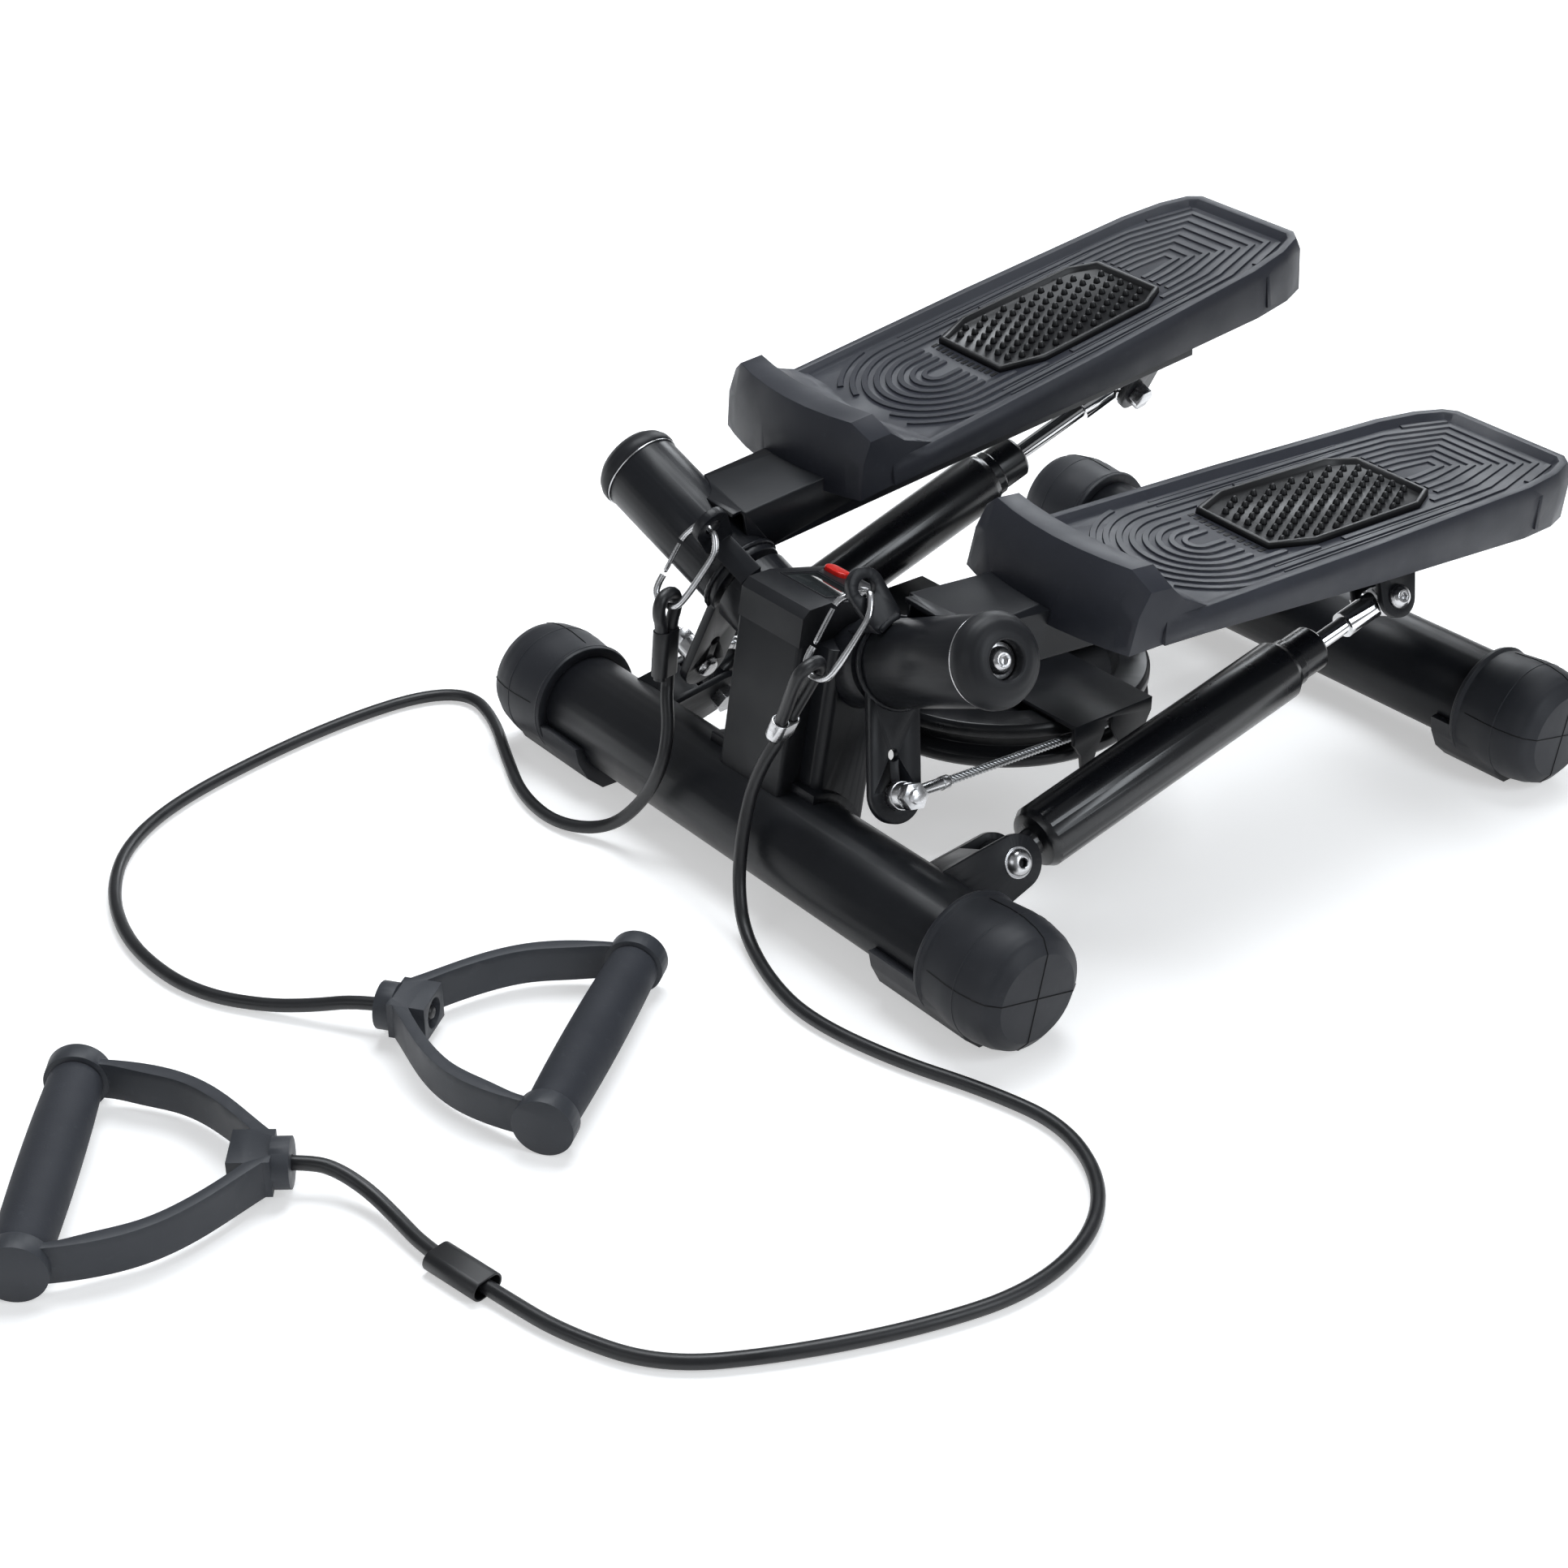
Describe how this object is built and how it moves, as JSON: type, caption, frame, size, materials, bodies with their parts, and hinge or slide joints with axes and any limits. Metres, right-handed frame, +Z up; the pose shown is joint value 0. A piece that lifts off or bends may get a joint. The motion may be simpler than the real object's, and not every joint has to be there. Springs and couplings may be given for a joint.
{
  "type": "stepper",
  "caption": "Swing stepper: tilting pedals on slanted pivots, dampers, cable pulley, step console and elastic bands with grips.",
  "frame": {"origin": "on the floor, midway between the two base tubes and on the centre plane", "axes": "+X to the user's left, +Y to the rear of the pedals, +Z up"},
  "size_m": [0.6431, 0.9438, 0.2647],
  "materials": {
    "painted_steel": "satin black powder coat",
    "moulded_cover": "fine grain",
    "pedal_plastic": "matt moulded grain",
    "pad_rubber": "matt",
    "foot_rubber": "matt",
    "bright_steel": "zinc plated",
    "steel_cable": "twisted strand",
    "pulley_plastic": "moulded",
    "damper_paint": "gloss black",
    "chrome_rod": "polished",
    "display": "liquid crystal window",
    "red_button": "gloss",
    "band_rubber": "fine ribbed cover",
    "handle_plastic": "moulded",
    "grip_foam": "foam"
  },
  "bodies": {
    "base": {"base_front_tube": "painted_steel", "base_rear_tube": "painted_steel", "main_beam": "painted_steel", "post": "painted_steel", "post_cover": "moulded_cover", "console_head": "moulded_cover", "display_window": "display", "foot_front_left": "foot_rubber", "foot_front_right": "foot_rubber", "foot_rear_left": "foot_rubber", "foot_rear_right": "foot_rubber", "left_hub": "painted_steel", "right_hub": "painted_steel", "left_axle": "bright_steel", "right_axle": "bright_steel", "cable_guard": "painted_steel", "cable_wrap": "steel_cable", "left_cable_strand": "steel_cable", "right_cable_strand": "steel_cable", "left_damper_foot": "painted_steel", "right_damper_foot": "painted_steel", "left_carabiner": "bright_steel", "right_carabiner": "bright_steel", "left_band": "band_rubber", "right_band": "band_rubber", "left_band_clamp": "bright_steel", "right_band_clamp": "band_rubber", "left_band_sleeve": "band_rubber", "left_handle_bow": "handle_plastic", "right_handle_bow": "handle_plastic"},
    "left_pedal_arm": {"left_pivot_sleeve": "painted_steel", "left_arm": "painted_steel", "left_lever": "painted_steel", "left_end_cap": "moulded_cover", "left_pedal": "pedal_plastic", "left_massage_pad": "pad_rubber", "left_damper_bracket": "painted_steel", "left_bracket_bolt": "bright_steel", "left_cable_end": "bright_steel"},
    "right_pedal_arm": {"right_pivot_sleeve": "painted_steel", "right_arm": "painted_steel", "right_lever": "painted_steel", "right_end_cap": "moulded_cover", "right_pedal": "pedal_plastic", "right_massage_pad": "pad_rubber", "right_damper_bracket": "painted_steel", "right_bracket_bolt": "bright_steel", "right_cable_end": "bright_steel"},
    "cable_pulley": {"pulley": "pulley_plastic"},
    "left_barrel": {"left_damper_barrel": "damper_paint"},
    "left_rod": {"left_damper_rod": "chrome_rod"},
    "right_barrel": {"right_damper_barrel": "damper_paint"},
    "right_rod": {"right_damper_rod": "chrome_rod"},
    "reset_button": {"console_button": "red_button"},
    "left_gate": {"left_carabiner_gate": "bright_steel"},
    "right_gate": {"right_carabiner_gate": "bright_steel"},
    "left_grip": {"left_handle_grip": "grip_foam"},
    "right_grip": {"right_handle_grip": "grip_foam"}
  },
  "joints": [
    {"name": "left_pedal_swing", "type": "hinge", "parent": "base", "child": "left_pedal_arm", "pos_m": [0.1461, -0.1797, 0.1826], "axis": [0.9004, -0.1048, 0.4222], "range_deg": [0, 12.26], "deforming": ["left_cable_strand"]},
    {"name": "right_pedal_swing", "type": "hinge", "parent": "base", "child": "right_pedal_arm", "pos_m": [-0.1461, -0.1797, 0.1826], "axis": [0.9004, 0.1048, -0.4222], "range_deg": [-12.26, 0], "deforming": ["right_cable_strand"]},
    {"name": "pulley_spin", "type": "hinge", "parent": "base", "child": "cable_pulley", "pos_m": [0, -0.038, 0.0685], "axis": [0, 0, 1], "range_deg": [-1, 12]},
    {"name": "left_damper_tilt", "type": "hinge", "parent": "base", "child": "left_barrel", "pos_m": [0.1294, -0.149, 0.0477], "axis": [0.9034, -0.0786, 0.4216], "range_deg": [-0.01, 11.78]},
    {"name": "left_damper_stroke", "type": "slide", "parent": "left_barrel", "child": "left_rod", "axis": [-0.0137, 0.9772, 0.2117], "range_m": [-0.00001, 0.02492]},
    {"name": "right_damper_tilt", "type": "hinge", "parent": "base", "child": "right_barrel", "pos_m": [-0.1294, -0.149, 0.0477], "axis": [0.9034, 0.0786, -0.4216], "range_deg": [-11.78, 0.01]},
    {"name": "right_damper_stroke", "type": "slide", "parent": "right_barrel", "child": "right_rod", "axis": [0.1009, 0.9165, 0.3872], "range_m": [-0.02492, 0.00001]},
    {"name": "button_press", "type": "slide", "parent": "base", "child": "reset_button", "axis": [0, -0.2419, -0.9703], "range_m": [0, 0.0015], "stiffness_N_per_m": 300, "springref_m": -0.0005},
    {"name": "left_gate_open", "type": "hinge", "parent": "base", "child": "left_gate", "pos_m": [0.04969, -0.19998, 0.18043], "axis": [0.2284, -0.753, 0.6172], "range_deg": [0, 22], "stiffness_Nm_per_rad": 0.02},
    {"name": "right_gate_open", "type": "hinge", "parent": "base", "child": "right_gate", "pos_m": [-0.07119, -0.20794, 0.17474], "axis": [0.4016, -0.7229, 0.5623], "range_deg": [0, 22], "stiffness_Nm_per_rad": 0.02},
    {"name": "left_grip_spin", "type": "hinge", "parent": "base", "child": "left_grip", "pos_m": [0.01813, -0.63757, 0.0156], "axis": [-0.8045, 0.5939, 0], "continuous": true},
    {"name": "right_grip_spin", "type": "hinge", "parent": "base", "child": "right_grip", "pos_m": [0.08942, -0.38306, 0.0156], "axis": [0.5984, -0.8012, 0], "continuous": true}
  ],
  "couplings": [
    {"joint": "right_pedal_swing", "follows": "left_pedal_swing", "ratio": -1},
    {"joint": "pulley_spin", "follows": "left_pedal_swing", "ratio": 0.78},
    {"joint": "left_damper_tilt", "follows": "left_pedal_swing", "ratio": 0.96034},
    {"joint": "left_damper_stroke", "follows": "left_pedal_swing", "m_per_rad": 0.11642},
    {"joint": "right_damper_tilt", "follows": "left_pedal_swing", "ratio": -0.96034},
    {"joint": "right_damper_stroke", "follows": "left_pedal_swing", "m_per_rad": -0.11642}
  ]
}
